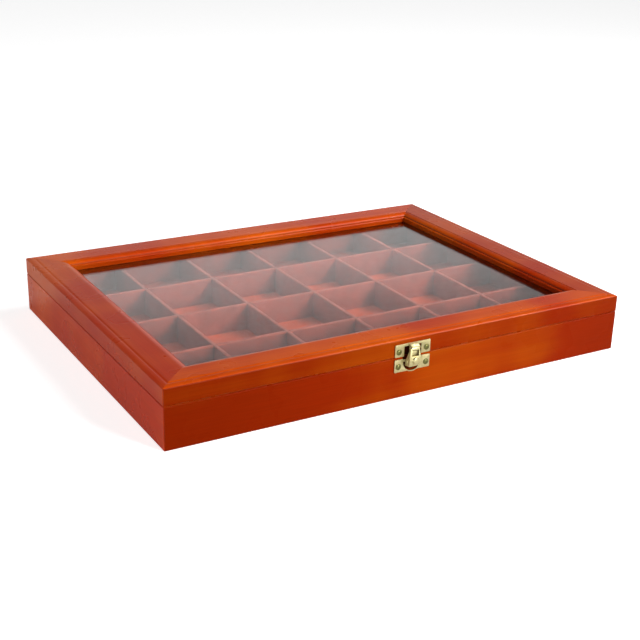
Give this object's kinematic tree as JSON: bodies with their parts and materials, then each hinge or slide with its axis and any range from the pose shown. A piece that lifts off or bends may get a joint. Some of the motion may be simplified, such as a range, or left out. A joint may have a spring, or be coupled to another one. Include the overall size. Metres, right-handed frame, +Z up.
{
  "type": "coin display case",
  "caption": "Shallow wooden case with a hinged, glass-topped lid over velvet-lined cells for coins, closed by a small brass press latch in the middle of the front.",
  "frame": {"origin": "middle of the underside of the case, on the surface it stands on", "axes": "+X to the right along the front with the latch, +Y to the back with the hinges, +Z up"},
  "size_m": [0.345, 0.2679, 0.041],
  "materials": {
    "wood": "glossy red-brown lacquer",
    "dark_wood": "dark stain",
    "panel": "plain stained underside",
    "velvet": "short velvet pile",
    "velvet_floor": "short velvet pile",
    "glass": "clear flat pane",
    "hinge_brass": "plated",
    "latch_brass": "pale plated",
    "screw_brass": "aged",
    "spring_steel": "bright"
  },
  "bodies": {
    "base": {"front_wall": "wood", "back_wall": "wood", "left_wall": "wood", "right_wall": "wood", "bottom_panel": "panel", "front_liner": "velvet", "back_liner": "velvet", "left_liner": "velvet", "right_liner": "velvet", "long_divider_1": "velvet", "long_divider_2": "velvet", "long_divider_3": "velvet", "cross_divider_1": "velvet", "cross_divider_2": "velvet", "cross_divider_3": "velvet", "cross_divider_4": "velvet", "cross_divider_5": "velvet", "floor_lining": "velvet_floor", "hinge_base_leaf_left": "hinge_brass", "hinge_base_leaf_right": "hinge_brass", "hinge_pin_left": "hinge_brass", "hinge_pin_right": "hinge_brass", "hinge_base_screws": "hinge_brass", "latch_plate": "latch_brass", "latch_pin": "latch_brass", "latch_plate_screws": "screw_brass", "latch_spring": "spring_steel"},
    "lid": {"front_rail": "wood", "back_rail": "wood", "left_rail": "wood", "right_rail": "wood", "glass_pane": "glass", "front_glass_stop": "dark_wood", "back_glass_stop": "dark_wood", "left_glass_stop": "dark_wood", "right_glass_stop": "dark_wood", "hinge_lid_leaf_left": "hinge_brass", "hinge_lid_leaf_right": "hinge_brass", "hinge_lid_screws": "hinge_brass", "catch_plate": "latch_brass", "catch_plate_screws": "screw_brass"},
    "latch_lever": {"latch_lever": "latch_brass"}
  },
  "joints": [
    {"name": "lid_hinge", "type": "hinge", "parent": "base", "child": "lid", "pos_m": [0, 0.1312, 0.0284], "axis": [-1, 0, 0], "range_deg": [0, 100]},
    {"name": "latch_press", "type": "hinge", "parent": "base", "child": "latch_lever", "pos_m": [-0.0015, -0.1314, 0.0256], "axis": [1, 0, 0], "range_deg": [0, 24], "stiffness_Nm_per_rad": 0.01, "springref_deg": -20.05}
  ]
}
